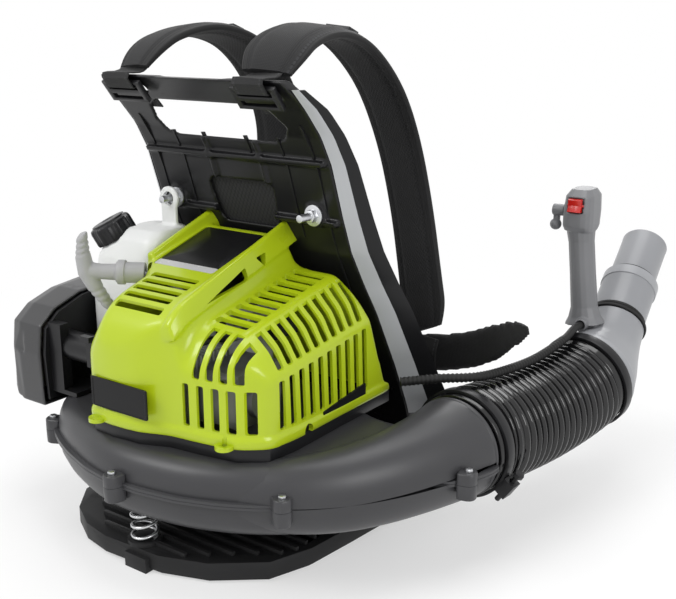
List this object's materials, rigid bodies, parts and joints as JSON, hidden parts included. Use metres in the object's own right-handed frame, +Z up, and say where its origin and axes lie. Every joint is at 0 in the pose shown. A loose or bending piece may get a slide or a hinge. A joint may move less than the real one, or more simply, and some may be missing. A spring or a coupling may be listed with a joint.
{
  "type": "backpack leaf blower",
  "caption": "Engine-driven backpack leaf blower: moulded carrying frame with harness, fan scroll, shrouded two-stroke engine, flexible hose, air tube and control handle.",
  "frame": {"origin": "middle of the base's rest face, on the frame's centre plane", "axes": "+Z up; +Y the way the wearer faces; +X the wearer's right, where the air hose leaves"},
  "size_m": [0.6327, 0.7349, 0.536],
  "materials": {
    "black_shell": "satin moulded black",
    "silver_trim": "silver-grey paint",
    "mesh_fabric": "open weave",
    "zinc_steel": "zinc plated",
    "padded_fabric": "woven polyester over foam",
    "webbing": "woven webbing",
    "black_acetal": "moulded black",
    "spring_steel": "bright steel",
    "dark_grey_housing": "satin dark grey",
    "cast_aluminium": "die cast",
    "plug_ceramic": "glazed white",
    "black_rubber": "matt rubber",
    "zinc_casting": "die cast",
    "filter_foam": "oiled foam",
    "muffler_steel": "stamped steel",
    "lime_shroud": "gloss lime green",
    "badge_grey": "blank dark plate",
    "grip_grey": "mid grey",
    "tank_translucent": "milky polyethylene",
    "amber_tube": "fuel line",
    "rope_white": "braided cord",
    "gloss_black_hose": "glossy black",
    "tube_grey": "silver-grey moulded",
    "red_switch": "red"
  },
  "bodies": {
    "frame": {"back_frame": "black_shell", "base_plate": "black_shell", "side_trim_left": "silver_trim", "side_trim_right": "silver_trim", "mesh_panel": "mesh_fabric", "frame_bolts": "zinc_steel", "back_pad": "padded_fabric", "lumbar_pad": "padded_fabric", "shoulder_strap_left": "padded_fabric", "shoulder_strap_right": "padded_fabric", "webbing_left": "webbing", "webbing_right": "webbing", "ear_buckles": "black_acetal", "strap_sliders": "black_acetal"},
    "power_unit": {"isolator_springs": "spring_steel", "volute_lower": "dark_grey_housing", "volute_upper": "dark_grey_housing", "flange_screws": "zinc_steel", "engine_collar": "dark_grey_housing", "crankcase": "cast_aluminium", "main_bearings": "spring_steel", "cylinder": "cast_aluminium", "spark_plug": "plug_ceramic", "ignition_coil": "black_acetal", "intake_manifold": "black_rubber", "carburettor": "zinc_casting", "filter_base": "black_acetal", "air_filter": "filter_foam", "muffler": "muffler_steel", "shroud": "lime_shroud", "badge_plates": "badge_grey", "starter_housing": "black_acetal", "recoil_spring": "spring_steel", "rope_guide": "grip_grey", "fuel_tank": "tank_translucent", "fuel_line": "amber_tube", "duct_clamp": "black_acetal"},
    "rotor": {"crankshaft": "spring_steel", "flywheel": "cast_aluminium", "impeller": "black_acetal"},
    "piston_set": {"piston": "cast_aluminium", "wrist_pin": "spring_steel", "connecting_rod": "cast_aluminium"},
    "starter_grip": {"pull_handle": "grip_grey", "starter_rope": "rope_white"},
    "starter_pulley": {"rope_pulley": "black_acetal"},
    "tube": {"flex_hose": "gloss_black_hose", "throttle_conduit": "black_rubber", "upper_tube": "tube_grey", "tube_clamp": "black_acetal", "control_handle": "tube_grey"},
    "nozzle_body": {"nozzle": "tube_grey"},
    "trigger_body": {"trigger": "black_acetal"},
    "cruise_body": {"cruise_lever": "tube_grey"},
    "switch_body": {"stop_switch": "red_switch"},
    "throttle_body": {"throttle_arm": "zinc_steel"},
    "choke_body": {"choke_lever": "black_acetal"},
    "cap_body": {"fuel_cap": "black_acetal"},
    "cover_body": {"air_cover": "black_shell"}
  },
  "joints": [
    {"name": "isolator_travel", "type": "slide", "parent": "frame", "child": "power_unit", "axis": [0, 0, 1], "range_m": [-0.003, 0.003], "stiffness_N_per_m": 60000, "springref_m": 0.0012, "deforming": ["isolator_springs"]},
    {"name": "crank_spin", "type": "hinge", "parent": "power_unit", "child": "rotor", "pos_m": [0.02, -0.025, 0.15], "axis": [0, 0, 1], "continuous": true},
    {"name": "piston_stroke", "type": "slide", "parent": "power_unit", "child": "piston_set", "axis": [0, 1, 0], "range_m": [0, 0.033]},
    {"name": "starter_pull", "type": "slide", "parent": "power_unit", "child": "starter_grip", "axis": [-0.7994, -0.5995, 0.04], "range_m": [0, 0.6], "stiffness_N_per_m": 12, "springref_m": -0.25, "deforming": ["starter_rope"]},
    {"name": "pulley_spin", "type": "hinge", "parent": "power_unit", "child": "starter_pulley", "pos_m": [0.02, -0.025, 0.264], "axis": [0, 0, 1], "range_deg": [-900, 0]},
    {"name": "hose_bend", "type": "hinge", "parent": "power_unit", "child": "tube", "pos_m": [0.263, 0.205, 0.108], "axis": [1, 0, 0], "range_deg": [-12, 18], "deforming": ["flex_hose", "throttle_conduit"]},
    {"name": "nozzle_twist", "type": "hinge", "parent": "tube", "child": "nozzle_body", "pos_m": [0.27666, 0.4481, 0.20007], "axis": [-0.0799, 0.8385, 0.539], "range_deg": [0, 40]},
    {"name": "trigger_pull", "type": "hinge", "parent": "tube", "child": "trigger_body", "pos_m": [0.247, 0.372, 0.303], "axis": [-1, 0, 0], "range_deg": [0, 12], "stiffness_Nm_per_rad": 0.25, "springref_deg": -11.46},
    {"name": "cruise_set", "type": "hinge", "parent": "tube", "child": "cruise_body", "pos_m": [0.247, 0.348, 0.316], "axis": [1, 0, 0], "range_deg": [0, 60]},
    {"name": "stop_rock", "type": "hinge", "parent": "tube", "child": "switch_body", "pos_m": [0.247, 0.331, 0.326], "axis": [1, 0, 0], "range_deg": [-6, 8]},
    {"name": "throttle_turn", "type": "hinge", "parent": "power_unit", "child": "throttle_body", "pos_m": [-0.074, -0.104, 0.21], "axis": [0, 0, 1], "range_deg": [0, 60]},
    {"name": "choke_turn", "type": "hinge", "parent": "power_unit", "child": "choke_body", "pos_m": [-0.094, -0.11, 0.189], "axis": [0, 1, 0], "range_deg": [0, 50]},
    {"name": "cap_turn", "type": "hinge", "parent": "power_unit", "child": "cap_body", "pos_m": [-0.15267, -0.02922, 0.30918], "axis": [-0.3611, -0.3009, 0.8827], "range_deg": [0, 90]},
    {"name": "cover_off", "type": "slide", "parent": "power_unit", "child": "cover_body", "axis": [-1, 0, 0], "range_m": [0, 0.08]}
  ],
  "couplings": [
    {"joint": "pulley_spin", "follows": "starter_pull", "rad_per_m": -25.9},
    {"joint": "throttle_turn", "follows": "trigger_pull", "ratio": 5}
  ]
}
